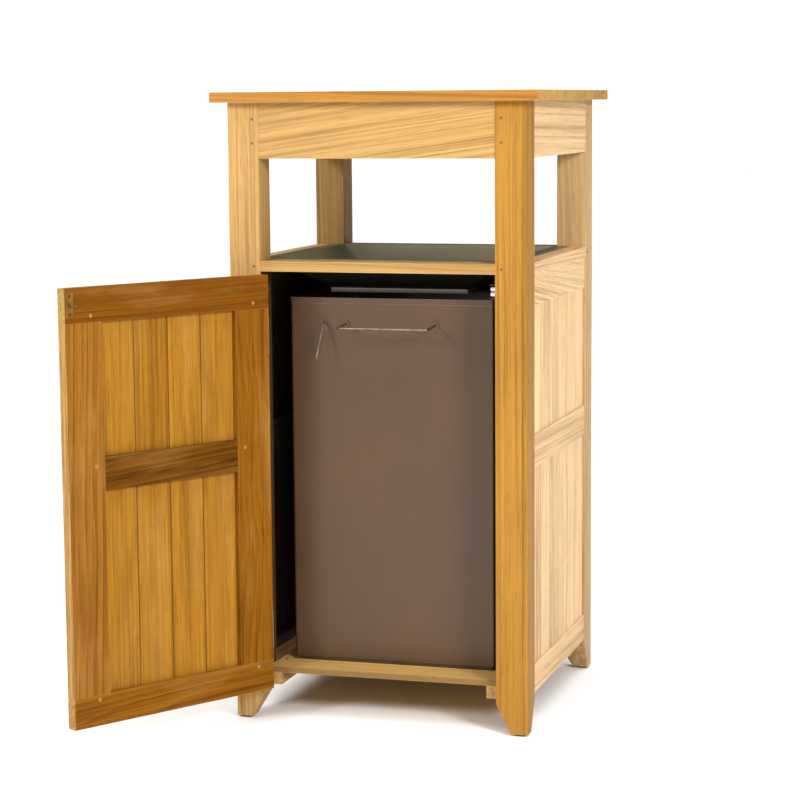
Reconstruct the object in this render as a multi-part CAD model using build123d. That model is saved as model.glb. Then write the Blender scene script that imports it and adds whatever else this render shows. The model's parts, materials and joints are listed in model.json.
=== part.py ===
from build123d import *
import math
import os

os.makedirs("parts", exist_ok=True)

# Litter bin: hardwood cabinet with a slotted mouth, a hinged door and a lift-out steel liner.
# Millimetres. The front faces -Y, +Z is up, z = 0 is the ground under the foot glides.

# overall
WIDTH = 480.0
HEIGHT = 1000.0
POST = 50.0
CAP_OVERHANG = 22.0
CAP_T = 16.0
GLIDE_T = 3.0
GLIDE_R = 10.0
FOOT_W = 26.0
FOOT_H = 50.0

# levels
APRON_H = 87.0
MOUTH_H = 160.0
LEDGE_T = 16.0
LEDGE_W = 45.0
TOP_RAIL_H = 52.0
MID_RAIL_Z0 = 416.0
MID_RAIL_H = 51.0
BOTTOM_RAIL_Z0 = 57.0
BOTTOM_RAIL_H = 44.0
FLOOR_Z1 = 82.5
FLOOR_T = 9.0
BEARER = 20.0
BASE_BOARD_T = 5.2
BASE_BOARD_SET = 3.0

# timber sections
RAIL_T = 20.0
RAIL_SET = 2.0
APRON_SET = 1.0
SLAT_T = 8.0
SLAT_SET = 5.0
SLAT_HOUSED = 6.0
SLATS = 6
TENON_T = 8.0
TENON_L = 24.0
TENON_SHOULDER = 8.0
PEG_R = 2.5
PEG_L = 18.0
PEG_IN = 10.0
PEG_HIGH = 61.0
PEG_LOW = 24.0

# door
DOOR_T = 18.0
DOOR_Z0 = 56.0
DOOR_GAP_TOP = 4.0
DOOR_GAP_HINGE = 3.0
DOOR_GAP_FREE = 2.0
STILE_W = 64.0
DOOR_TOP_H = 52.0
DOOR_MID_Z0 = 412.5
DOOR_MID_H = 50.5
DOOR_BOTTOM_H = 47.0
DOOR_SLAT_T = 7.0
DOOR_SLAT_SET = 2.0
DOOR_SLATS = 4
DOOR_OPEN = 122.5

# hinges
KNUCKLE_R = 3.0
KNUCKLE_AIR = 0.3
PIN_R = 1.5
PIN_FIT = 0.05
LEAF_T = 1.2
LEAF_H = 60.0
HINGE_FROM_FOOT = 96.0
HINGE_FROM_TOP = 95.0

# screws
SCREW_R = 1.5
HEAD_R = 3.0
HEAD_H = 1.6

# roller catch
CATCH_DROP = 24.6
CATCH_SET = 28.0
ROLLER_R = 3.2
ROLLER_L = 7.7
ROLLER_PITCH = 8.0
AXLE_R = 1.1
ROLLER_FIT = 0.06
CATCH_PLATE_T = 1.2
CATCH_H = 37.0
CATCH_TRAVEL = 1.2
TONGUE_SET = 10.0
CATCH_LIP = 15.0
CATCH_WALL = 5.6
AXLE_BLOCK = 5.4
ROLLER_SET = 5.7

# sheet metal
SHEET = 1.2
HOPPER_THROAT = 228.0
HOPPER_DROP = 50.0
COLLAR_H = 7.0
FLANGE_LAP = 16.0
SLOPE_WALL = 2.0
LINER_W = 336.0
LINER_SET = 80.0
LINER_DROP = 5.5
LINER_R = 4.0
HEM_H = 9.0
HEM_T = 1.2
SEAT_GAP = 0.3

# wires on the liner
HANDLE_HALF = 73.5
HANDLE_DROP = 41.0
HANDLE_OUT = 50.0
HANDLE_DROOP = 3.0
HANDLE_R = 1.9
HOOK_R = 1.5
HOOK_X = -108.0
HOOK_DROP = 47.0
HOOK_OUT = 46.5
HOOK_L = 47.5
BOSS_R = 4.5
BOSS_L = 3.0

HALF = WIDTH / 2
INNER = HALF - POST
CAP_HALF = HALF + CAP_OVERHANG
POST_TOP = HEIGHT - CAP_T
APRON_Z0 = POST_TOP - APRON_H
LEDGE_Z1 = APRON_Z0 - MOUTH_H
LEDGE_Z0 = LEDGE_Z1 - LEDGE_T
DOOR_Z1 = LEDGE_Z0 - DOOR_GAP_TOP
DOOR_X0 = -INNER + DOOR_GAP_HINGE
DOOR_X1 = INNER - DOOR_GAP_FREE
AXIS_X = -INNER + DOOR_GAP_HINGE / 2
AXIS_Y = -HALF - KNUCKLE_R - KNUCKLE_AIR
HINGE_Z = (DOOR_Z0 + HINGE_FROM_FOOT, DOOR_Z1 - HINGE_FROM_TOP)
CATCH_Z = DOOR_Z1 - CATCH_DROP
CATCH_Y = -HALF + CATCH_SET
TONGUE_X = INNER - TONGUE_SET
HOPPER_THROAT_Z = LEDGE_Z1 - HOPPER_DROP
LINER_FRONT = -HALF + LINER_SET
LINER_TOP = HOPPER_THROAT_Z - COLLAR_H - LINER_DROP
HANDLE_Z = LINER_TOP - HANDLE_DROP
HOOK_Z = LINER_TOP - HOOK_DROP
HOOK_TIP_Y = LINER_FRONT - HOOK_OUT
HOOK_TIP_Z = HOOK_Z - HOOK_L


def block(x0, x1, y0, y1, z0, z1):
    """A box between two corners."""
    size = Box(abs(x1 - x0), abs(y1 - y0), abs(z1 - z0))
    return Pos((x0 + x1) / 2, (y0 + y1) / 2, (z0 + z1) / 2) * size


def rod(start, direction, length, radius):
    """A cylinder that starts at a point and runs along a direction."""
    face = Plane(origin=start, z_dir=direction) * Circle(radius)
    return extrude(face, length)


def turned(shape, quarter):
    """A copy turned about the cabinet's centre by quarter turns."""
    return Rot(0, 0, 90 * quarter) * shape


def less(shape, tools):
    """A shape with each tool cut from it that reaches its box."""
    box = shape.bounding_box()
    for tool in tools:
        other = tool.bounding_box()
        apart = (
            other.min.X > box.max.X or other.max.X < box.min.X
            or other.min.Y > box.max.Y or other.max.Y < box.min.Y
            or other.min.Z > box.max.Z or other.max.Z < box.min.Z
        )
        if not apart:
            shape = shape - tool
    return shape


def save(name, shapes):
    """Writes one node, made of one or more separate solids."""
    solids = []
    for shape in shapes if isinstance(shapes, (list, tuple)) else [shapes]:
        solids += shape.solids()
    target = solids[0] if len(solids) == 1 else Compound(children=solids)
    export_step(target, f"parts/{name}.step")


def screw(start, direction, length):
    """A countersunk wood screw: its head is flush at start, and it runs along the direction."""
    plane = Plane(origin=start, z_dir=direction)
    head = plane * Pos(0, 0, HEAD_H / 2) * Cone(HEAD_R, SCREW_R, HEAD_H)
    return head + rod(start, direction, length, SCREW_R)


def opened(shape):
    """A door piece, drawn shut, swung to its rest position."""
    return Pos(AXIS_X, AXIS_Y, 0) * Rot(0, 0, -DOOR_OPEN) * Pos(-AXIS_X, -AXIS_Y, 0) * shape


# posts, before their mortises

def post_blank():
    """The front right post, its two inner faces tapered at the foot."""
    low = HALF - FOOT_W
    outline = [(INNER, FOOT_H), (INNER, POST_TOP), (HALF, POST_TOP), (HALF, GLIDE_T), (low, GLIDE_T)]
    front = extrude(Plane.XZ * make_face(Polyline(*outline, close=True)), HALF)
    side = extrude(Plane.YZ * make_face(Polyline(*[(-a, z) for a, z in outline], close=True)), HALF)
    return front & side


def tenoned(x0, x1, y0, y1, z0, z1, tenon, length, shoulder, setback):
    """A member between two posts and its two tenons, drawn on the front."""
    body = block(x0, x1, y0, y1, z0, z1)
    t0 = y0 + setback
    ends = []
    for a, b in ((x0 - length, x0), (x1, x1 + length)):
        ends.append(block(a, b, t0, t0 + tenon, z0 + shoulder, z1 - shoulder))
    return body + ends[0] + ends[1], ends


def apron():
    y0 = -HALF + APRON_SET
    return tenoned(
        -INNER, INNER, y0, y0 + RAIL_T, APRON_Z0, POST_TOP, TENON_T, TENON_L, TENON_SHOULDER, 5.0
    )


def ledge():
    return tenoned(
        -INNER, INNER, -HALF, -HALF + LEDGE_W, LEDGE_Z0, LEDGE_Z1, 20.0, 16.0, 4.0, TENON_T
    )


def wall_rail(z0, height):
    y0 = -HALF + RAIL_SET
    return tenoned(
        -INNER, INNER, y0, y0 + RAIL_T, z0, z0 + height, TENON_T, TENON_L, TENON_SHOULDER, 4.0
    )


def slat_outline(u0, u1, thickness, first, last):
    """The section of one board: a groove on its low edge, a tongue on its high edge."""
    vee = 1.2
    middle = thickness / 2
    reach = 3.8
    points = [(u0 + vee, 0), (u1 - vee, 0), (u1, vee)]
    if not last:
        points += [(u1, middle - 1.1), (u1 + reach, middle - 1.1)]
        points += [(u1 + reach, middle + 1.1), (u1, middle + 1.1)]
    points += [(u1, thickness - vee), (u1 - vee, thickness), (u0 + vee, thickness)]
    points += [(u0, thickness - vee)]
    if not first:
        points += [(u0, middle + 1.2), (u0 + 4.0, middle + 1.2)]
        points += [(u0 + 4.0, middle - 1.2), (u0, middle - 1.2)]
    return points + [(u0, vee)]


def slat_row(x0, x1, y0, thickness, count, z0, z1, lap=0.0):
    """Boards side by side from x0 to x1, their outer faces at y0, and the space they fill."""
    pitch = (x1 - x0) / count
    slats = []
    for n in range(count):
        first = n == 0
        last = n == count - 1
        u0 = x0 + n * pitch - (lap if first else 0)
        u1 = x0 + (n + 1) * pitch + (lap if last else 0)
        outline = slat_outline(u0, u1, thickness, first, last)
        face = make_face(Polyline(*[(u, y0 + v) for u, v in outline], close=True))
        slats.append(Pos(0, 0, z0) * extrude(face, z1 - z0))
    return slats, block(x0 - lap, x1 + lap, y0, y0 + thickness, z0, z1)


WALLS = {"right": 1, "rear": 2, "left": 3}
SIDES = {"front": 0, **WALLS}
CORNERS = {"front_right": 0, "rear_right": 1, "rear_left": 2, "front_left": 3}
RAILS = {
    "top": (LEDGE_Z0 - TOP_RAIL_H, TOP_RAIL_H),
    "mid": (MID_RAIL_Z0, MID_RAIL_H),
    "bottom": (BOTTOM_RAIL_Z0, BOTTOM_RAIL_H),
}


def frame_pegs():
    """Pegs through the post joints. One in each side wall's top joint goes right through."""
    pegs = []
    at = INNER + PEG_IN
    levels = {"front": (APRON_Z0 + PEG_HIGH, APRON_Z0 + PEG_LOW, LEDGE_Z1 - LEDGE_T / 2)}
    low = [z0 + height * 0.4 for z0, height in RAILS.values()]
    for side in WALLS:
        levels[side] = levels["front"] + tuple(low)
    for side, heights in levels.items():
        for z in heights:
            through = side in ("left", "right") and abs(z - low[0]) < 0.1
            for x in (-at, at):
                peg = rod((x, -HALF, z), (0, 1, 0), POST if through else PEG_L, PEG_R)
                pegs.append(turned(peg, SIDES[side]))
    return pegs


def hinge_screws(x, into, z):
    """Three screws through one leaf, in a line."""
    y = -HALF + DOOR_T / 2
    return [screw((x, y, z + dz), (into, 0, 0), 16.0) for dz in (-22.0, 0.0, 22.0)]


def knuckles(z, first):
    """Every other fifth of the barrel, bored for the pin."""
    step = LEAF_H / 5
    out = []
    for n in range(first, 5, 2):
        low = z - LEAF_H / 2 + n * step
        ring = rod((AXIS_X, AXIS_Y, low + 0.15), (0, 0, 1), step - 0.3, KNUCKLE_R)
        out.append(ring - rod((AXIS_X, AXIS_Y, low), (0, 0, 1), step, PIN_R + PIN_FIT))
    return out


def leaf(z, x0, first):
    """One hinge leaf. Its plate stands clear of the other leaf's knuckles."""
    step = LEAF_H / 5
    plate = block(x0, x0 + LEAF_T, AXIS_Y, -HALF + DOOR_T - 1.0, z - LEAF_H / 2, z + LEAF_H / 2)
    for n in range(5):
        low = z - LEAF_H / 2 + n * step
        mine = n % 2 == first
        radius = KNUCKLE_R - 0.6 if mine else KNUCKLE_R + 0.35
        grow = 0.0 if mine else 0.15
        start = (AXIS_X, AXIS_Y, low - grow)
        plate = plate - rod(start, (0, 0, 1), step + 2 * grow, radius)
    behind = block(x0 - 1, x0 + LEAF_T + 1, AXIS_Y - 5, AXIS_Y, z - LEAF_H, z + LEAF_H)
    plate = plate - behind
    for ring in knuckles(z, first):
        plate = plate + ring
    return plate


def catch_parts():
    """The roller catch on the right post: body, two axle blocks, two rollers and its screws."""
    face = INNER
    plate_x = face - CATCH_PLATE_T
    half_h = CATCH_H / 2
    y0 = CATCH_Y - 4.4
    y1 = CATCH_Y + 4.4
    body = block(plate_x, face, y0 - 0.6, y1 + 4.0, CATCH_Z - half_h, CATCH_Z + half_h)
    for sign in (-1, 1):
        z = CATCH_Z + sign * 10.5
        body = body + block(INNER - CATCH_LIP, plate_x, y0, y1, z - 0.5, z + 0.5)
        wall = CATCH_Y + sign * 3.9
        wall_x = INNER - CATCH_WALL
        body = body + block(wall_x, plate_x, wall - 0.5, wall + 0.5, CATCH_Z - 10.2, CATCH_Z + 10.2)
    screws = [
        screw((plate_x, CATCH_Y, CATCH_Z + dz), (1, 0, 0), 14.0) for dz in (-14.5, 14.5)
    ]
    axles = []
    rollers = []
    for sign in (1, -1):
        z = CATCH_Z + sign * ROLLER_PITCH / 2
        foot = block(INNER - AXLE_BLOCK, plate_x - SEAT_GAP, CATCH_Y - 3.1, CATCH_Y + 3.1, z - 2.6, z + 2.6)
        axles.append(foot + rod((INNER - AXLE_BLOCK, CATCH_Y, z), (-1, 0, 0), ROLLER_L + 1.0, AXLE_R))
        start = (INNER - ROLLER_SET, CATCH_Y, z)
        barrel = rod(start, (-1, 0, 0), ROLLER_L, ROLLER_R)
        barrel = chamfer(barrel.edges(), 0.6)
        rollers.append(barrel - rod(start, (-1, 0, 0), ROLLER_L, AXLE_R + ROLLER_FIT))
    return less(body, screws), axles, rollers, screws


def strike():
    """The strike plate on the door and its spear-shaped tongue, drawn shut."""
    y = -HALF + DOOR_T
    half_h = CATCH_H / 2
    plate = block(TONGUE_X - 6.5, TONGUE_X + 6.5, y, y + SHEET, CATCH_Z - half_h, CATCH_Z + half_h)
    neck = 0.5
    head = 1.5
    shoulder = CATCH_Y + ROLLER_R + 0.3
    outline = [(y + SHEET, -neck), (shoulder, -neck), (shoulder + 0.6, -head)]
    outline += [(shoulder + 2.2, -head), (shoulder + 5.2, -neck)]
    outline += [(shoulder + 5.2, neck), (shoulder + 2.2, head)]
    outline += [(shoulder + 0.6, head), (shoulder, neck), (y + SHEET, neck)]
    face = Plane.YZ * make_face(Polyline(*outline, close=True))
    tongue = Pos(TONGUE_X - 3.0, 0, CATCH_Z) * extrude(face, 6.0)
    screws = [
        screw((TONGUE_X, y + SHEET, CATCH_Z + dz), (0, -1, 0), 12.0) for dz in (-13.5, 13.5)
    ]
    return less(plate + tongue, screws), screws


def hopper():
    """The sheet-metal funnel: a flange on the ledge boards, four slopes and a folded collar."""
    top = LEDGE_Z1 + SHEET
    mouth = INNER - 0.5
    throat = HOPPER_THROAT / 2
    skins = []
    for inset in (0.0, SLOPE_WALL):
        high = Pos(0, 0, top) * Rectangle(2 * (mouth - inset), 2 * (mouth - inset))
        low = Pos(0, 0, HOPPER_THROAT_Z) * Rectangle(2 * (throat - inset), 2 * (throat - inset))
        skins.append(loft([low, high], ruled=True))
    slopes = skins[0] - skins[1]
    collar_z = HOPPER_THROAT_Z - COLLAR_H
    inner = throat - SLOPE_WALL
    collar = block(-throat, throat, -throat, throat, collar_z, HOPPER_THROAT_Z)
    collar = collar - block(-inner, inner, -inner, inner, collar_z - 1, HOPPER_THROAT_Z + 1)
    reach = INNER + 5.0 + FLANGE_LAP
    hole = mouth - SLOPE_WALL
    flange = block(-reach, reach, -mouth, mouth, LEDGE_Z1, top)
    flange = flange + block(-mouth, mouth, -reach, reach, LEDGE_Z1, top)
    flange = flange - block(-hole, hole, -hole, hole, LEDGE_Z1 - 1, top + 1)
    flange = flange - skins[1]
    whole = slopes + collar + flange
    at = INNER + 5.0 + FLANGE_LAP / 2
    screws = [
        screw((sx * at, sy * 120.0, top), (0, 0, -1), 13.0) for sx in (-1, 1) for sy in (-1, 1)
    ]
    return less(whole, screws), screws


def liner_box():
    """The lift-out steel box, open at the top, its edge folded outwards."""
    z0 = FLOOR_Z1 + BASE_BOARD_T + SEAT_GAP
    y = LINER_FRONT + LINER_W / 2
    outer = extrude(Pos(0, y, z0) * RectangleRounded(LINER_W, LINER_W, LINER_R), LINER_TOP - z0)
    side = LINER_W - 2 * SHEET
    space = RectangleRounded(side, side, LINER_R - SHEET)
    outer = outer - extrude(Pos(0, y, z0 + SHEET) * space, LINER_TOP - z0)
    wide = LINER_W + 2 * HEM_T
    hem_z = LINER_TOP - HEM_H
    hem = extrude(Pos(0, y, hem_z) * RectangleRounded(wide, wide, LINER_R + HEM_T), HEM_H)
    hem = hem - extrude(Pos(0, y, hem_z) * RectangleRounded(LINER_W, LINER_W, LINER_R), HEM_H)
    return outer + hem


def wire(points, radii, radius):
    """A round wire along straight runs joined by arcs."""
    path = FilletPolyline(*points, radius=radii)
    start = Plane(origin=path @ 0, z_dir=path % 0)
    return sweep(start * Circle(radius), path=path)


def liner_wires():
    """The pull handle, the bent hook beside it and the bosses that hold their roots."""
    root = LINER_FRONT - 0.15
    out = LINER_FRONT - HANDLE_OUT
    low = HANDLE_Z - HANDLE_DROOP
    points = [
        (-HANDLE_HALF, root, HANDLE_Z), (-HANDLE_HALF, out, low),
        (HANDLE_HALF, out, low), (HANDLE_HALF, root, HANDLE_Z),
    ]
    handle = wire(points, 7.0, HANDLE_R)
    hook = wire(
        [(HOOK_X, root + 1.5, HOOK_Z - 1.7), (HOOK_X - 0.5, root - 10.0, HOOK_Z + 11.5),
         (HOOK_X - 2.5, HOOK_TIP_Y, HOOK_TIP_Z)],
        4.5,
        HOOK_R,
    )
    # the slanted wire ends flush with the handle's roots, just clear of the sheet
    hook = hook - block(HOOK_X - 9, HOOK_X + 9, root, root + 9, HOOK_Z - 17, HOOK_Z + 13)
    bosses = []
    for x, z, tool in (
        (-HANDLE_HALF, HANDLE_Z, handle), (HANDLE_HALF, HANDLE_Z, handle), (HOOK_X, HOOK_Z, hook)
    ):
        bosses.append(rod((x, LINER_FRONT, z), (0, -1, 0), BOSS_L, BOSS_R) - tool)
    return handle, hook, bosses


# cabinet frame

posts = {name: turned(post_blank(), q) for name, q in CORNERS.items()}
members = {}
mortises = []
for side, quarter in SIDES.items():
    for kind, made in (("apron", apron()), ("ledge", ledge())):
        members[f"{side}_{kind}"] = turned(made[0], quarter)
        mortises += [turned(end, quarter) for end in made[1]]
slats = {}
for side, quarter in WALLS.items():
    y0 = -HALF + SLAT_SET
    rows = []
    spaces = []
    for low, high in (("bottom", "mid"), ("mid", "top")):
        z0 = RAILS[low][0] + RAILS[low][1] - SLAT_HOUSED
        z1 = RAILS[high][0] + SLAT_HOUSED
        row, space = slat_row(-INNER, INNER, y0, SLAT_T, SLATS, z0, z1)
        rows += row
        spaces.append(space)
    for kind, (z0, height) in RAILS.items():
        rail, ends = wall_rail(z0, height)
        members[f"{side}_{kind}_rail"] = turned(less(rail, spaces), quarter)
        mortises += [turned(end, quarter) for end in ends]
    slats[side] = [turned(slat, quarter) for slat in rows]
pegs = frame_pegs()

# cap

cap_boards = {}
third = 2 * CAP_HALF / 3
for n, name in enumerate(("front", "middle", "rear")):
    y0 = -CAP_HALF + n * third
    y1 = y0 + third
    round0 = 2.0 if n == 0 else 1.0
    round1 = 2.0 if n == 2 else 1.0
    outline = [(y0, POST_TOP), (y1, POST_TOP), (y1, HEIGHT - round1), (y1 - round1, HEIGHT)]
    outline += [(y0 + round0, HEIGHT), (y0, HEIGHT - round0)]
    face = Plane.YZ * make_face(Polyline(*outline, close=True))
    cap_boards[name] = Pos(-CAP_HALF, 0, 0) * extrude(face, 2 * CAP_HALF)
batten_y = HALF - APRON_SET - RAIL_T
batten_z0 = POST_TOP - 18.0
cap_battens = [
    block(x - 15, x + 15, -batten_y, batten_y, batten_z0, POST_TOP) for x in (-130.0, 130.0)
]
cap_screws = [
    screw((x, y, batten_z0), (0, 0, 1), 28.0) for x in (-130.0, 130.0) for y in (-165.0, 0.0, 165.0)
]

# floor

floor_y0 = -HALF + DOOR_T
floor_y1 = HALF - RAIL_SET - RAIL_T
bearer_z1 = FLOOR_Z1 - FLOOR_T
bearers = [
    block(sx * (INNER - BEARER), sx * INNER, floor_y0, floor_y1, bearer_z1 - BEARER, bearer_z1)
    for sx in (-1, 1)
]
bearer_screws = [
    screw((sx * (INNER - BEARER), sy * (INNER + 16.0), bearer_z1 - BEARER / 2), (sx, 0, 0), 38.0)
    for sx in (-1, 1)
    for sy in (-1, 1)
]
board_gap = 3.0
board_pitch = (floor_y1 - floor_y0 + board_gap) / 4
floor_boards = []
floor_screws = []
for n in range(4):
    y0 = floor_y0 + n * board_pitch
    y1 = y0 + board_pitch - board_gap
    floor_boards.append(block(-INNER, INNER, y0, y1, FLOOR_Z1 - FLOOR_T, FLOOR_Z1))
    for sx in (-1, 1):
        start = (sx * (INNER - BEARER / 2), (y0 + y1) / 2, FLOOR_Z1)
        floor_screws.append(screw(start, (0, 0, -1), 22.0))
board_x = LINER_W / 2 - BASE_BOARD_SET
base_y0 = LINER_FRONT - 5.0
base_y1 = LINER_FRONT + LINER_W + 2.0
base_board = block(-board_x, board_x, base_y0, base_y1, FLOOR_Z1, FLOOR_Z1 + BASE_BOARD_T)

# door, drawn shut

door_y0 = -HALF
door_y1 = -HALF + DOOR_T
panel_x0 = DOOR_X0 + STILE_W
panel_x1 = DOOR_X1 - STILE_W
top_z0 = DOOR_Z1 - DOOR_TOP_H
bottom_z1 = DOOR_Z0 + DOOR_BOTTOM_H
mid_z1 = DOOR_MID_Z0 + DOOR_MID_H
tenon_y0 = door_y0 + 5.0
tenon_y1 = tenon_y0 + TENON_T
door_slats = []
door_spaces = []
for z0, z1 in ((bottom_z1, DOOR_MID_Z0), (mid_z1, top_z0)):
    row, space = slat_row(
        panel_x0, panel_x1, door_y0 + DOOR_SLAT_SET, DOOR_SLAT_T, DOOR_SLATS,
        z0 - SLAT_HOUSED, z1 + SLAT_HOUSED, SLAT_HOUSED,
    )
    door_slats += row
    door_spaces.append(space)
stile_tenons = []
stiles = {}
for name, x0, x1 in (("hinge", DOOR_X0, panel_x0), ("free", panel_x1, DOOR_X1)):
    whole = block(x0, x1, door_y0, door_y1, bottom_z1, top_z0)
    for z0, z1 in ((bottom_z1 - 22.0, bottom_z1), (top_z0, top_z0 + 22.0)):
        tenon = block(x0 + 10, x1 - 10, tenon_y0, tenon_y1, z0, z1)
        stile_tenons.append(tenon)
        whole = whole + tenon
    stiles[name] = whole
mid_tenons = []
mid_rail = block(panel_x0, panel_x1, door_y0, door_y1, DOOR_MID_Z0, mid_z1)
for x0, x1 in ((panel_x0 - 26.0, panel_x0), (panel_x1, panel_x1 + 26.0)):
    tenon = block(x0, x1, tenon_y0, tenon_y1, DOOR_MID_Z0 + 8, mid_z1 - 8)
    mid_tenons.append(tenon)
    mid_rail = mid_rail + tenon
door_rails = {
    "top": block(DOOR_X0, DOOR_X1, door_y0, door_y1, top_z0, DOOR_Z1),
    "bottom": block(DOOR_X0, DOOR_X1, door_y0, door_y1, DOOR_Z0, bottom_z1),
    "mid": mid_rail,
}
peg_x0 = panel_x0 - 34.0
peg_x1 = panel_x1 + 19.0
peg_spots = [(peg_x1, top_z0 + 10), (peg_x0, top_z0 + 10), (peg_x1, bottom_z1 - 7)]
peg_spots += [(peg_x0, bottom_z1 - 7), (panel_x1 + 14.5, mid_z1 - 13), (panel_x0 - 14.5, mid_z1 - 13)]
door_pegs = [rod((x, door_y0, z), (0, 1, 0), DOOR_T, 3.0) for x, z in peg_spots]
strike_plate, strike_screws = strike()

# hinges

leaf_x = -INNER
door_leaf_x = DOOR_X0 - LEAF_T
post_leaves = {}
door_leaves = {}
pins = {}
post_screws = []
door_screws = []
for name, z in zip(("lower", "upper"), HINGE_Z):
    fixed = hinge_screws(leaf_x + LEAF_T, -1, z)
    moving = hinge_screws(door_leaf_x, 1, z)
    post_leaves[name] = less(leaf(z, leaf_x, 0), fixed)
    door_leaves[name] = less(leaf(z, door_leaf_x, 1), moving)
    pins[name] = rod((AXIS_X, AXIS_Y, z - LEAF_H / 2), (0, 0, 1), LEAF_H, PIN_R)
    post_screws += fixed
    door_screws += moving
door_screws += strike_screws

# metalwork

catch_body, catch_axles, catch_rollers, catch_screws = catch_parts()
hopper_sheet, hopper_screws = hopper()
liner = liner_box()
handle, hook, bosses = liner_wires()

# feet

foot_at = HALF - FOOT_W / 2
glides = []
for sx in (-1, 1):
    for sy in (-1, 1):
        pad = rod((sx * foot_at, sy * foot_at, 0), (0, 0, 1), GLIDE_T, GLIDE_R)
        pad = pad + rod((sx * foot_at, sy * foot_at, 0), (0, 0, 1), GLIDE_T + 12.0, 2.0)
        glides.append(pad)

# write every node

wood_screws = post_screws + catch_screws + hopper_screws + bearer_screws + floor_screws + cap_screws
for name, board in cap_boards.items():
    save(f"cap_board_{name}", less(board, cap_screws))
save("cap_battens", [less(batten, cap_screws) for batten in cap_battens])
for name, post in posts.items():
    save(f"{name}_post", less(post, mortises + pegs + wood_screws + glides))
for name, member in members.items():
    save(name, less(member, pegs + hopper_screws))
for side, row in slats.items():
    save(f"{side}_wall_slats", row)
save("frame_pegs", pegs)
save("foot_glides", glides)
save("floor_bearers", [less(bearer, bearer_screws + floor_screws) for bearer in bearers])
save("floor_boards", [less(board, floor_screws) for board in floor_boards])
save("liner_base_board", base_board)
save("cabinet_screws", wood_screws)
for name, rail in door_rails.items():
    cuts = door_spaces + stile_tenons + door_pegs + door_screws
    if name == "mid":
        cuts = door_spaces + door_pegs
    save(f"door_{name}_rail", opened(less(rail, cuts)))
for name, stile in stiles.items():
    save(f"door_{name}_stile", opened(less(stile, door_spaces + mid_tenons + door_pegs + door_screws)))
save("door_slats", [opened(slat) for slat in door_slats])
save("door_pegs", [opened(peg) for peg in door_pegs])
save("door_screws", [opened(item) for item in door_screws])
save("strike_plate", opened(strike_plate))
for name in ("upper", "lower"):
    save(f"{name}_hinge_post_leaf", post_leaves[name])
    save(f"{name}_hinge_door_leaf", opened(door_leaves[name]))
    save(f"{name}_hinge_pin", pins[name])
save("catch_body", catch_body)
for name, axle, roller in zip(("upper", "lower"), catch_axles, catch_rollers):
    save(f"catch_{name}_axle", axle)
    save(f"catch_{name}_roller", roller)
save("hopper", hopper_sheet)
save("liner_box", liner)
save("liner_handle", handle)
save("liner_hook", hook)
save("liner_bosses", bosses)
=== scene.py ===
"""Looks of the litter bin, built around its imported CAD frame."""

import json
import math

import bpy
from mathutils import Matrix, Vector


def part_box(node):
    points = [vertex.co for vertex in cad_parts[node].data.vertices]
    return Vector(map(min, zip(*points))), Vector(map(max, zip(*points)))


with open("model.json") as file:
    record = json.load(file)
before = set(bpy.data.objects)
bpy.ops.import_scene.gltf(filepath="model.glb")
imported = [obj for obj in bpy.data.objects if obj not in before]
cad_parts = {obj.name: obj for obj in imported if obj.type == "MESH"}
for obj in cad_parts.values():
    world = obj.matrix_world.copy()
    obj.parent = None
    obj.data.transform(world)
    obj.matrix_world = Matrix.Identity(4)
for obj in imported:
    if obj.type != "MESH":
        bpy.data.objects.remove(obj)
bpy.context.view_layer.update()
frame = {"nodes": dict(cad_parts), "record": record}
nodes = frame["nodes"]

# sizes and places on the object, in metres, with the door drawn shut
INNER = 0.190
WALL_SLATS = 6
DOOR_SLATS = 4
DOOR_PANEL = (-0.123, 0.124)
FLOOR_ROW = (-0.222, 0.110)
SLAT_SPLIT = 0.44
# width of the dark lines on the joints between boards: dirt, and painted shade in the vees
JOINT_DIRT_AND_SHADE = 0.0012
DOOR_OPEN = math.radians(122.5)
HINGE_AXIS = (-0.1885, -0.2433)
DOOR_MIDDLE = -0.2345
DOOR_EDGE = 0.1876
CAP_EDGE = 0.2600
CASE_FACE = 0.228
CASE_FRONT = 0.236
CASE_TOP = 0.7205
CASE_FLOOR = 0.0835
COLLAR_TOP = 0.6868
LINER_HALF = 0.1672
LINER_SKIN = -0.1592
LINER_BACK = 0.1752

# middle colours of the timbers, and how far the streaks go either side of them
FRONT = (0.42, 0.245, 0.078)
FRONT_DEEP = (0.34, 0.150, 0.030)
FRONT_RIGHT = (0.33, 0.155, 0.018)
REAR_LEFT = (0.33, 0.185, 0.055)
REAR_RIGHT = (0.46, 0.29, 0.13)
SIDE = (0.64, 0.43, 0.225)
DOOR_SLAT = (0.32, 0.140, 0.013)
DOOR_STILE = (0.22, 0.082, 0.005)
DOOR_FREE = (0.25, 0.100, 0.012)
DOOR_RAIL = (0.165, 0.055, 0.003)
DOOR_DARK = (0.118, 0.043, 0.002)
DOOR_PALE = (0.40, 0.205, 0.050)
DOOR_SMOKE = (0.040, 0.013, 0.001)
# painted shade: the inside of the cabinet darkened nearly to black
CASE_INSIDE_SHADE = (0.020, 0.012, 0.006)
# painted shade: the inside of the liner darkened nearly to black
LINER_INSIDE_SHADE = (0.008, 0.005, 0.003)
# painted shade: faces under the hopper darkened nearly to black
UNDERSIDE_SHADE = (0.002, 0.002, 0.0016)
# painted highlight on the hopper's collar
COLLAR_HIGHLIGHT = (0.60, 0.60, 0.50)
STREAK_LIGHT = 1.22
STREAK_DARK = (0.52, 0.44, 0.34)
PALEST = 0.85

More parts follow.
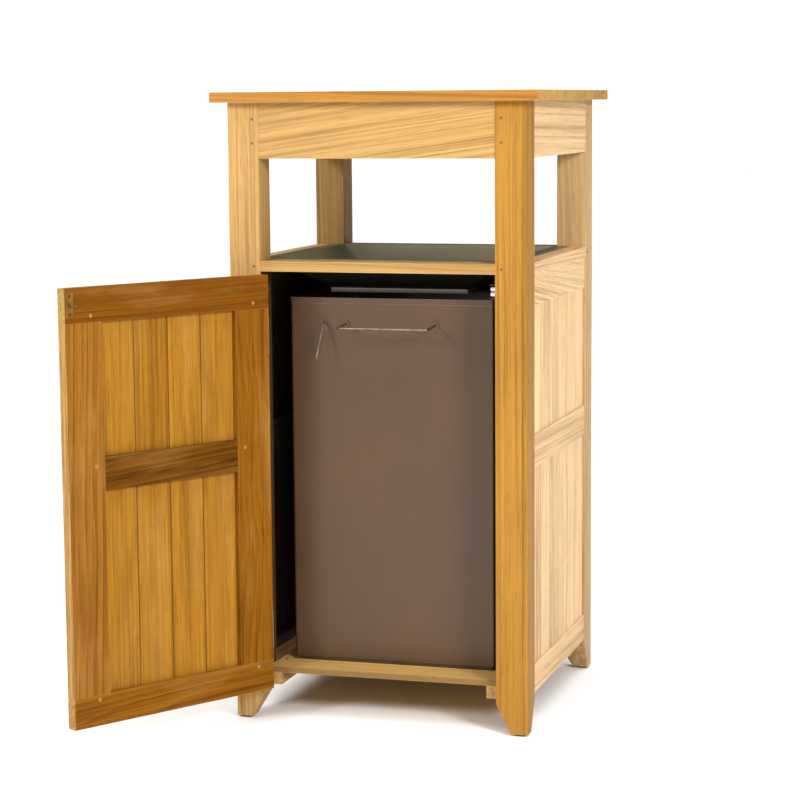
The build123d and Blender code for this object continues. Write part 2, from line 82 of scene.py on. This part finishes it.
# features of the wood: how many to a metre along the grain, and across it
DRIFT = (2.2, 9.0)
STREAK = (0.55, 95.0)
LINE = (0.8, 290.0)
FIBRE = (5.0, 620.0)
PORE = (30.0, 1300.0)
CLOUD = (3.0, 10.0)
PATCH = (4.0, 16.0)
SMOKE = (7.0, 55.0)
GRAIN_ORDER = {"X": (0, 1, 2), "Y": (1, 0, 2), "Z": (2, 0, 1)}

# how strongly boards in one row differ, on the cabinet and on the door
BOARD_VARY = 0.7
DOOR_VARY = 0.21
# the weathered top of the cap is this much rougher than the rest
CAP_DRY = 0.24
# most that pale patches and smoky figure cover the door's inner face
DOOR_FIGURE = (0.42, 0.22)
MID_RAIL_FIGURE = (0.18, 0.85)

# node helpers


def add(tree, kind, inputs=None, **settings):
    """A shader node. Each input is a value, or a socket that is linked to it."""
    node = tree.nodes.new(kind)
    for key, value in settings.items():
        setattr(node, key, value)
    for key, value in (inputs or {}).items():
        if isinstance(value, bpy.types.NodeSocket):
            tree.links.new(value, node.inputs[key])
        else:
            node.inputs[key].default_value = value
    return node


def calc(tree, op, a, b=0.0, c=0.0):
    return add(tree, "ShaderNodeMath", {0: a, 1: b, 2: c}, operation=op).outputs[0]


def times(tree, *factors):
    """The product of two or more values."""
    product = factors[0]
    for factor in factors[1:]:
        product = calc(tree, "MULTIPLY", product, factor)
    return product


def between(tree, value, low, high):
    """1 where low < value < high, and 0 elsewhere."""
    above = calc(tree, "GREATER_THAN", value, low)
    return times(tree, above, calc(tree, "LESS_THAN", value, high))


def noise(tree, where, scale, detail=2.0, rough=0.5):
    inputs = {"Vector": where, "Scale": scale, "Detail": detail, "Roughness": rough}
    return add(tree, "ShaderNodeTexNoise", inputs).outputs["Fac"]


def remap(tree, value, low, high, to_low=0.0, to_high=1.0):
    names = ("Value", "From Min", "From Max", "To Min", "To Max")
    inputs = dict(zip(names, (value, low, high, to_low, to_high)))
    return add(tree, "ShaderNodeMapRange", inputs).outputs[0]


def blend_colour(tree, factor, a, b):
    node = add(tree, "ShaderNodeMix", data_type="RGBA")
    for index, value in ((0, factor), (6, a), (7, b)):
        if isinstance(value, bpy.types.NodeSocket):
            tree.links.new(value, node.inputs[index])
        elif index:
            node.inputs[index].default_value = (*value, 1.0)
        else:
            node.inputs[index].default_value = value
    return node.outputs[2]


def material(name):
    made = bpy.data.materials.new(name)
    made.use_nodes = True
    tree = made.node_tree
    tree.nodes.clear()
    shader = tree.nodes.new("ShaderNodeBsdfPrincipled")
    out = tree.nodes.new("ShaderNodeOutputMaterial")
    tree.links.new(shader.outputs[0], out.inputs["Surface"])
    return made, tree, shader


def base_colour(made):
    """A finished material's tree, its shader, and the socket its base colour comes from."""
    tree = made.node_tree
    shader = next(node for node in tree.nodes if node.type == "BSDF_PRINCIPLED")
    return tree, shader, shader.inputs["Base Color"].links[0].from_socket


def object_place(tree):
    return add(tree, "ShaderNodeTexCoord").outputs["Object"]


def edge_mask(tree, radius):
    """About 0 on a flat face, rising towards 1 on an arris."""
    soft = add(tree, "ShaderNodeBevel", {"Radius": radius}, samples=4).outputs[0]
    true = add(tree, "ShaderNodeNewGeometry").outputs["Normal"]
    same = add(tree, "ShaderNodeVectorMath", {0: soft, 1: true}, operation="DOT_PRODUCT")
    return remap(tree, same.outputs["Value"], 0.995, 0.80)


def bump(tree, height, strength, distance):
    inputs = {"Height": height, "Strength": strength, "Distance": distance}
    return add(tree, "ShaderNodeBump", inputs).outputs[0]


def inside_case_shade(tree):
    """1 within the closed part of the cabinet, where shade is painted, 0 outside it."""
    x, y, z = add(tree, "ShaderNodeSeparateXYZ", {0: object_place(tree)}).outputs
    across = calc(tree, "LESS_THAN", calc(tree, "ABSOLUTE", x), CASE_FACE)
    along = between(tree, y, -CASE_FRONT, CASE_FACE)
    return times(tree, across, along, between(tree, z, CASE_FLOOR, CASE_TOP))


# wood


def timber_ramp(tree, level, middle):
    """From the light streaks at a level of 0, through the middle colour, to the dark ones."""
    ramp = add(tree, "ShaderNodeValToRGB", {"Fac": level})
    stops = ramp.color_ramp
    stops.elements[0].color = (*[min(PALEST, c * STREAK_LIGHT) for c in middle], 1)
    stops.elements[0].position = 0.1
    stops.elements[1].color = (*[c * k for c, k in zip(middle, STREAK_DARK)], 1)
    stops.elements[1].position = 1.0
    centre = stops.elements.new(0.5)
    centre.color = (*middle, 1)
    return ramp.outputs["Color"]


def shut_place(tree, turn):
    """Where a point is with the door drawn shut. The door's mesh is made standing open."""
    place = object_place(tree)
    if turn:
        turned = add(tree, "ShaderNodeMapping", {"Vector": place, "Rotation": (0, 0, turn)})
        axis = Vector((*HINGE_AXIS, 0))
        shift = tuple(axis - Matrix.Rotation(turn, 3, "Z") @ axis)
        moved = {0: turned.outputs[0], 1: shift}
        place = add(tree, "ShaderNodeVectorMath", moved, operation="ADD").outputs[0]
    return place


def board_row(tree, parts, grain, seed, boards):
    """A random shade for each board of a row, and 1 on the joints between the boards."""
    axis, start, pitch = boards
    across = calc(tree, "SUBTRACT", parts["XYZ".index(axis)], start)
    row = calc(tree, "DIVIDE", across, pitch)
    upper = calc(tree, "GREATER_THAN", parts[2], SLAT_SPLIT) if grain == "Z" else 0.0
    number = calc(tree, "MULTIPLY_ADD", upper, 17.0, calc(tree, "FLOOR", row))
    number = calc(tree, "ADD", number, seed * 3.0)
    shade = add(tree, "ShaderNodeTexWhiteNoise", {"W": number}, noise_dimensions="1D")
    joint = calc(tree, "SUBTRACT", calc(tree, "FRACT", row), 0.5)
    joint = calc(tree, "ABSOLUTE", joint)
    joint = calc(tree, "GREATER_THAN", joint, 0.5 - JOINT_DIRT_AND_SHADE / pitch)
    return shade.outputs["Value"], joint


def door_faces(tree, name, parts, level, colour, stretched):
    """Patches and smoky figure within, and an outer face and free edge as pale as the cabinet."""
    fade, stain = MID_RAIL_FIGURE if name == "teak_door_mid_rail" else DOOR_FIGURE
    patch = remap(tree, noise(tree, stretched(PATCH), 1.0, 3.0), 0.50, 0.68, 0.0, fade)
    colour = blend_colour(tree, patch, colour, DOOR_PALE)
    smoke = noise(tree, stretched(SMOKE), 1.0, 3.0, 0.6)
    colour = blend_colour(tree, remap(tree, smoke, 0.48, 0.66, 0.0, stain), colour, DOOR_SMOKE)
    outer = calc(tree, "LESS_THAN", parts[1], DOOR_MIDDLE)
    edge = calc(tree, "GREATER_THAN", parts[0], DOOR_EDGE)
    pale = calc(tree, "MAXIMUM", outer, edge)
    return blend_colour(tree, pale, colour, timber_ramp(tree, level, FRONT))


def wood(name, grain, seed, middle, turn=0.0, boards=None, slope=0.0, figure=0.3):
    """Oiled teak. grain is X, Y or Z. boards is (axis, start, pitch) where a node holds a row."""
    made, tree, shader = material(name)
    parts = add(tree, "ShaderNodeSeparateXYZ", {0: shut_place(tree, turn)}).outputs
    along, wide, deep = (parts[n] for n in GRAIN_ORDER[grain])
    if boards:
        shade, joint = board_row(tree, parts, grain, seed, boards)
        along = calc(tree, "MULTIPLY_ADD", shade, 9.0, along)
        wide = calc(tree, "MULTIPLY_ADD", shade, 0.31, wide)
    # the grain runs off at a slope across the member's widest visible face
    if slope and grain == "Z":
        wide = calc(tree, "MULTIPLY_ADD", along, slope, wide)
    elif slope:
        deep = calc(tree, "MULTIPLY_ADD", along, slope, deep)

    def stretched(pitches):
        lengthwise, crosswise = pitches
        made_of = {
            0: calc(tree, "MULTIPLY_ADD", along, lengthwise, seed * 7.31),
            1: calc(tree, "MULTIPLY_ADD", wide, crosswise, seed * 3.17),
            2: calc(tree, "MULTIPLY_ADD", deep, crosswise, seed * 5.71),
        }
        return add(tree, "ShaderNodeCombineXYZ", made_of).outputs[0]

    # growth rings round a heart that wanders a little along the trunk
    drift = noise(tree, stretched(DRIFT), 1.0, 2.0)
    drift = calc(tree, "MULTIPLY_ADD", drift, 0.085, -0.042)
    heart = {
        0: calc(tree, "MULTIPLY", along, 0.05),
        1: calc(tree, "ADD", wide, calc(tree, "ADD", drift, 0.013 * (seed % 5) - 0.02)),
        2: calc(tree, "ADD", deep, calc(tree, "MULTIPLY_ADD", drift, 0.5, 0.035)),
    }
    heart = add(tree, "ShaderNodeCombineXYZ", heart).outputs[0]
    wave = {
        "Vector": heart, "Scale": 34.0, "Distortion": 3.0, "Detail": 3.0, "Detail Scale": 0.8,
    }
    shape = {"wave_type": "RINGS", "rings_direction": "X", "wave_profile": "SAW"}
    rings = add(tree, "ShaderNodeTexWave", wave, **shape).outputs["Fac"]
    streak = noise(tree, stretched(STREAK), 1.0, 4.0, 0.6)
    line = noise(tree, stretched(LINE), 1.0, 3.0, 0.6)
    fibre = noise(tree, stretched(FIBRE), 1.0, 2.0, 0.6)
    pores = remap(tree, noise(tree, stretched(PORE), 1.0, 1.0), 0.62, 0.72)
    cloud = noise(tree, stretched(CLOUD), 1.0, 2.0)

    level = calc(tree, "MULTIPLY_ADD", streak, 1.1, -0.05)
    shares = [(line, 1.25), (rings, figure), (cloud, 0.6)]
    if boards:
        shares.append((shade, DOOR_VARY if turn else BOARD_VARY))
    for value, share in shares:
        centred = calc(tree, "SUBTRACT", value, 0.5)
        level = calc(tree, "MULTIPLY_ADD", centred, share, level)

    colour = timber_ramp(tree, level, middle)
    if turn:
        colour = door_faces(tree, name, parts, level, colour, stretched)
    if name == "teak_cap_board_front":
        arris = calc(tree, "LESS_THAN", parts[1], -CAP_EDGE)
        colour = blend_colour(tree, arris, colour, timber_ramp(tree, level, FRONT_DEEP))
    deepest = tuple(c * k * 0.6 for c, k in zip(middle, STREAK_DARK))
    if boards:
        # dark lines on the joints between boards: dirt, and painted shade in the vees
        colour = blend_colour(tree, times(tree, joint, 0.8), colour, deepest)
    colour = blend_colour(tree, remap(tree, fibre, 0.40, 0.70, 0.0, 0.34), colour, deepest)
    colour = blend_colour(tree, times(tree, pores, 0.45), colour, deepest)
    worn = times(tree, edge_mask(tree, 0.0016), remap(tree, cloud, 0.35, 0.6, 0.15, 0.5))
    rubbed = tuple(min(PALEST, c * 1.45 + 0.03) for c in middle)
    colour = blend_colour(tree, worn, colour, rubbed)
    if not turn:
        # painted shade: the inside of the cabinet, all but the door, darkened nearly to black
        colour = blend_colour(tree, times(tree, inside_case_shade(tree), 0.93), colour, CASE_INSIDE_SHADE)
    tree.links.new(colour, shader.inputs["Base Color"])

    dry = CAP_DRY if name.startswith("teak_cap_board") else 0.0
    rough = remap(tree, streak, 0.3, 0.7, 0.48 + dry, 0.62 + dry)
    rough = calc(tree, "MULTIPLY_ADD", pores, 0.15, rough)
    tree.links.new(rough, shader.inputs["Roughness"])
    shader.inputs["Specular IOR Level"].default_value = 0.04 if turn or dry else 0.18
    height = calc(tree, "MULTIPLY_ADD", pores, -0.8, times(tree, fibre, 0.6))
    height = calc(tree, "MULTIPLY_ADD", rings, 0.12, height)
    tree.links.new(bump(tree, height, 0.35, 0.0004), shader.inputs["Normal"])
    return made


def peg_wood(name, pale, dark):
    """End grain: fine dark grit, broad darker patches and open pores."""
    made, tree, shader = material(name)
    place = object_place(tree)
    grit = noise(tree, place, 1500.0, 3.0)
    broad = noise(tree, place, 14.0)
    colour = blend_colour(tree, remap(tree, grit, 0.35, 0.7), pale, dark)
    colour = blend_colour(tree, remap(tree, broad, 0.4, 0.65, 0.0, 0.3), colour, dark)
    tree.links.new(colour, shader.inputs["Base Color"])
    tree.links.new(remap(tree, grit, 0.3, 0.7, 0.5, 0.75), shader.inputs["Roughness"])
    tree.links.new(bump(tree, grit, 0.4, 0.0003), shader.inputs["Normal"])
    return made


# metal and plastic


def coated(name, colour, pale, rough, peel, metal=0.0):
    """Sheet metal under a coat: slight cloudiness, orange peel, and edges rubbed paler."""
    made, tree, shader = material(name)
    place = object_place(tree)
    cloud = noise(tree, place, 5.0, 4.0)
    skin = noise(tree, place, peel, 2.0)
    speck = remap(tree, noise(tree, place, 2600.0, 1.0), 0.66, 0.74, 0.0, 0.35)
    dark = tuple(c * 0.82 for c in colour)
    tint = blend_colour(tree, remap(tree, cloud, 0.35, 0.65), dark, colour)
    tint = blend_colour(tree, speck, tint, pale)
    rubbed = times(tree, edge_mask(tree, 0.0012), remap(tree, cloud, 0.4, 0.65, 0.1, 0.6))
    tint = blend_colour(tree, rubbed, tint, pale)
    tree.links.new(tint, shader.inputs["Base Color"])
    gloss = remap(tree, cloud, 0.3, 0.7, rough - 0.04, rough + 0.06)
    tree.links.new(gloss, shader.inputs["Roughness"])
    shader.inputs["Metallic"].default_value = metal
    tree.links.new(bump(tree, skin, 0.12, 0.0004), shader.inputs["Normal"])
    return made


def hopper_coat():
    """Olive sheet, with painted shade near black on its underside, and a painted highlight on the
    collar that fades downwards.
    """
    olive, rubbed = (0.165, 0.150, 0.088), (0.34, 0.33, 0.25)
    made = coated("olive_sheet", olive, rubbed, 0.36, 700.0, 0.25)
    tree, shader, plain = base_colour(made)
    normal = add(tree, "ShaderNodeNewGeometry").outputs["Normal"]
    facing = add(tree, "ShaderNodeSeparateXYZ", {0: normal}).outputs[2]
    height = add(tree, "ShaderNodeSeparateXYZ", {0: object_place(tree)}).outputs[2]
    facing_down_shade = calc(tree, "LESS_THAN", facing, -0.3)
    collar = calc(tree, "LESS_THAN", height, COLLAR_TOP)
    # painted shade on the faces that look downwards
    colour = blend_colour(tree, times(tree, facing_down_shade, 0.95), plain, UNDERSIDE_SHADE)
    collar_highlight = remap(tree, height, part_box("hopper")[0].z, COLLAR_TOP, 0.25, 0.95)
    # painted highlight on the collar, brightest at its top and fading downwards
    colour = blend_colour(tree, times(tree, collar, collar_highlight), colour, COLLAR_HIGHLIGHT)
    tree.links.new(colour, shader.inputs["Base Color"])
    return made


def liner_coat():
    """Brown powder coat, with painted shade near black on the inside of the box."""
    brown, rubbed = (0.078, 0.036, 0.011), (0.36, 0.27, 0.20)
    made = coated("brown_powder_coat", brown, rubbed, 0.40, 520.0)
    tree, shader, plain = base_colour(made)
    x, y, _ = add(tree, "ShaderNodeSeparateXYZ", {0: object_place(tree)}).outputs
    beside = calc(tree, "LESS_THAN", calc(tree, "ABSOLUTE", x), LINER_HALF)
    inside_shade = times(tree, beside, between(tree, y, LINER_SKIN, LINER_BACK), 0.9)
    # painted shade on the inside of the liner box
    colour = blend_colour(tree, inside_shade, plain, LINER_INSIDE_SHADE)
    tree.links.new(colour, shader.inputs["Base Color"])
    return made


def steel(name, colour, rough):
    """Drawn or plated steel: fine scratches and dulled patches."""
    made, tree, shader = material(name)
    place = object_place(tree)
    fine = add(tree, "ShaderNodeMapping", {"Vector": place, "Scale": (300, 2500, 2500)})
    lines = noise(tree, fine.outputs[0], 1.0, 2.0)
    patch = noise(tree, place, 90.0, 3.0)
    dulled = tuple(c * 0.6 for c in colour)
    tint = blend_colour(tree, remap(tree, patch, 0.4, 0.7), colour, dulled)
    tree.links.new(tint, shader.inputs["Base Color"])
    gloss = remap(tree, lines, 0.3, 0.7, rough - 0.08, rough + 0.12)
    tree.links.new(gloss, shader.inputs["Roughness"])
    shader.inputs["Metallic"].default_value = 1.0
    tree.links.new(bump(tree, lines, 0.1, 0.0002), shader.inputs["Normal"])
    return made


def plastic(name, colour, dirt, rough):
    """Moulded plastic with grime in patches and a faint grain."""
    made, tree, shader = material(name)
    place = object_place(tree)
    grime = noise(tree, place, 160.0, 4.0)
    tint = blend_colour(tree, remap(tree, grime, 0.5, 0.75, 0.0, 0.5), colour, dirt)
    tree.links.new(tint, shader.inputs["Base Color"])
    tree.links.new(remap(tree, grime, 0.3, 0.7, rough, rough + 0.15), shader.inputs["Roughness"])
    tree.links.new(bump(tree, noise(tree, place, 1800.0), 0.15, 0.0002), shader.inputs["Normal"])
    return made


# give every node its material


def paint(name, made):
    mesh = nodes[name].data
    mesh.materials.clear()
    mesh.materials.append(made)


def longest(name):
    """The axis that a member is longest on, which its grain follows."""
    low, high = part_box(name)
    size = high - low
    return "XYZ"[max(range(3), key=lambda n: size[n])]


SLAT_PITCH = 2 * INNER / WALL_SLATS
DOOR_PITCH = (DOOR_PANEL[1] - DOOR_PANEL[0]) / DOOR_SLATS
# colour, grain slope and strength of the rings, where a member differs from the rest
LOOKS = {
    "front_apron": (FRONT, -0.14, 0.14),
    "front_ledge": (FRONT, 0.02, 0.25),
    "front_left_post": (FRONT, 0.0, 0.14),
    "front_right_post": (FRONT_RIGHT, 0.0, 0.2),
    "rear_left_post": (REAR_LEFT, 0.02, 0.2),
    "rear_right_post": (REAR_RIGHT, 0.02, 0.2),
    "right_top_rail": (SIDE, 0.12, 0.4),
    "cap_board_front": (FRONT, 0.03, 0.14),
    "door_top_rail": (DOOR_RAIL, 0.02, 0.3),
    "door_mid_rail": (DOOR_DARK, 0.06, 0.8),
    "door_bottom_rail": (DOOR_STILE, 0.03, 0.3),
    "door_slats": (DOOR_SLAT, 0.0, 0.2),
    "door_free_stile": (DOOR_FREE, 0.03, 0.5),
    "door_hinge_stile": (DOOR_STILE, 0.02, 0.4),
}
# rows of boards: the axis they lie along, where the row starts, and its pitch
ROWS = {
    "door_slats": ("X", DOOR_PANEL[0], DOOR_PITCH),
    "floor_boards": ("Y", *FLOOR_ROW),
    "left_wall_slats": ("Y", -INNER, SLAT_PITCH),
    "right_wall_slats": ("Y", -INNER, SLAT_PITCH),
    "rear_wall_slats": ("X", -INNER, SLAT_PITCH),
}
# the grain of the door and of the rows, which their boxes don't give
GRAIN = {
    "door_top_rail": "X", "door_mid_rail": "X", "door_bottom_rail": "X",
    "door_hinge_stile": "Z", "door_free_stile": "Z", "door_slats": "Z",
    "left_wall_slats": "Z", "right_wall_slats": "Z", "rear_wall_slats": "Z",
    "floor_boards": "X",
}
for seed, item in enumerate(frame["record"]["subparts"], 1):
    name = item["node"]
    if item["material_slot"] != "teak":
        continue
    plain = SIDE if name.startswith(("right", "left", "rear")) else FRONT
    middle, slope, figure = LOOKS.get(name, (plain, 0.02, 0.14))
    grain = GRAIN.get(name) or longest(name)
    turn = DOOR_OPEN if name.startswith("door_") else 0.0
    paint(name, wood(f"teak_{name}", grain, seed, middle, turn, ROWS.get(name), slope, figure))

shared = {
    "peg_wood": peg_wood("post_peg_end_grain", (0.19, 0.095, 0.030), (0.10, 0.045, 0.015)),
    "liner_paint": liner_coat(),
    "hopper_steel": hopper_coat(),
    "plated_steel": steel("zinc_plate", (0.60, 0.58, 0.53), 0.34),
    "white_nylon": plastic("white_nylon", (0.82, 0.81, 0.77), (0.45, 0.42, 0.36), 0.35),
    "black_plastic": plastic("black_plastic", (0.012, 0.012, 0.012), (0.07, 0.06, 0.05), 0.5),
}
for item in frame["record"]["subparts"]:
    if item["material_slot"] in shared:
        paint(item["node"], shared[item["material_slot"]])
# pieces that look different from the rest of their slot
paint("door_pegs", peg_wood("door_peg_end_grain", (0.34, 0.17, 0.035), (0.20, 0.09, 0.02)))
dull = steel("dull_steel", (0.11, 0.075, 0.035), 0.6)
for name in ("catch_body", "door_screws"):
    paint(name, dull)
paint("strike_plate", steel("aged_brass", (0.27, 0.135, 0.03), 0.55))
wire = steel("bare_wire", (0.27, 0.215, 0.17), 0.44)
for name in ("liner_handle", "liner_hook"):
    paint(name, wire)

# floor, surround and light

FLOOR_SIZE = 60
FLOOR_DROP = 0.0002
SURROUND_RADIUS = 29
# name, place, what it points at, size and power
SOFTBOXES = (
    ("right_softbox", (2.65, -2.6, 2.0), (0.1, 0.0, 0.45), (0.9, 0.9), 145),
    ("left_softbox", (-1.75, -3.1, 2.0), (0.0, 0.0, 0.45), (0.8, 0.8), 82),
)


def stage_mesh(name, made):
    piece = bpy.context.object
    piece.name = name
    piece.data.materials.append(made)
    return piece


bpy.ops.mesh.primitive_plane_add(size=FLOOR_SIZE, location=(0, 0, -FLOOR_DROP))
made, tree, shader = material("studio_floor")
shader.inputs["Base Color"].default_value = (0.88, 0.88, 0.88, 1)
shader.inputs["Roughness"].default_value = 0.8
stage_mesh("studio_floor", made)

# a white surround that is seen, and lights nothing
bpy.ops.mesh.primitive_uv_sphere_add(
    radius=SURROUND_RADIUS, location=(0, 0, 0), segments=48, ring_count=24
)
made, tree, shader = material("studio_surround")
shader.inputs["Base Color"].default_value = (0, 0, 0, 1)
shader.inputs["Emission Color"].default_value = (1, 1, 1, 1)
shader.inputs["Emission Strength"].default_value = 1.1
surround = stage_mesh("studio_surround", made)
surround.visible_diffuse = False
surround.visible_glossy = False
surround.visible_shadow = False

world = bpy.data.worlds.new("studio")
bpy.context.scene.world = world
world.use_nodes = True
background = world.node_tree.nodes["Background"]
background.inputs["Color"].default_value = (1, 1, 1, 1)
background.inputs["Strength"].default_value = 0.07


def hang(name, light, place, aim):
    """A light at place, pointed at aim."""
    body = bpy.data.objects.new(name, light)
    body.location = place
    body.rotation_euler = (Vector(aim) - Vector(place)).to_track_quat("-Z", "Y").to_euler()
    bpy.context.collection.objects.link(body)


overhead = bpy.data.lights.new("overhead", "SUN")
overhead.energy = 3.7
overhead.angle = math.radians(75)
hang("overhead", overhead, (0, 0, 5), (0, 0.3, 0))
for name, place, aim, size, power in SOFTBOXES:
    light = bpy.data.lights.new(name, "AREA")
    light.shape = "RECTANGLE"
    light.size, light.size_y = size
    light.energy = power
    hang(name, light, place, aim)

# camera: its place in metres, its angles in radians and its lens in millimetres

CAMERA_AT = (1.0514, -3.6526, 0.9866)
YAW, PITCH, ROLL = 0.2888, 0.1292, -0.0079
LENS = 104.04
SENSOR = 36.0
forward = Vector((
    -math.sin(YAW) * math.cos(PITCH),
    math.cos(YAW) * math.cos(PITCH),
    -math.sin(PITCH),
))
right = Vector((math.cos(YAW), math.sin(YAW), 0))
up = right.cross(forward)
turned_right = math.cos(ROLL) * right + math.sin(ROLL) * up
turned_up = -math.sin(ROLL) * right + math.cos(ROLL) * up
camera = bpy.data.objects.new("camera", bpy.data.cameras.new("camera"))
camera.data.lens = LENS
camera.data.sensor_width = SENSOR
axes = Matrix((turned_right, turned_up, -forward)).transposed()
camera.matrix_world = Matrix.Translation(CAMERA_AT) @ axes.to_4x4()
bpy.context.collection.objects.link(camera)
bpy.context.scene.camera = camera
bpy.context.scene.view_settings.view_transform = "Standard"
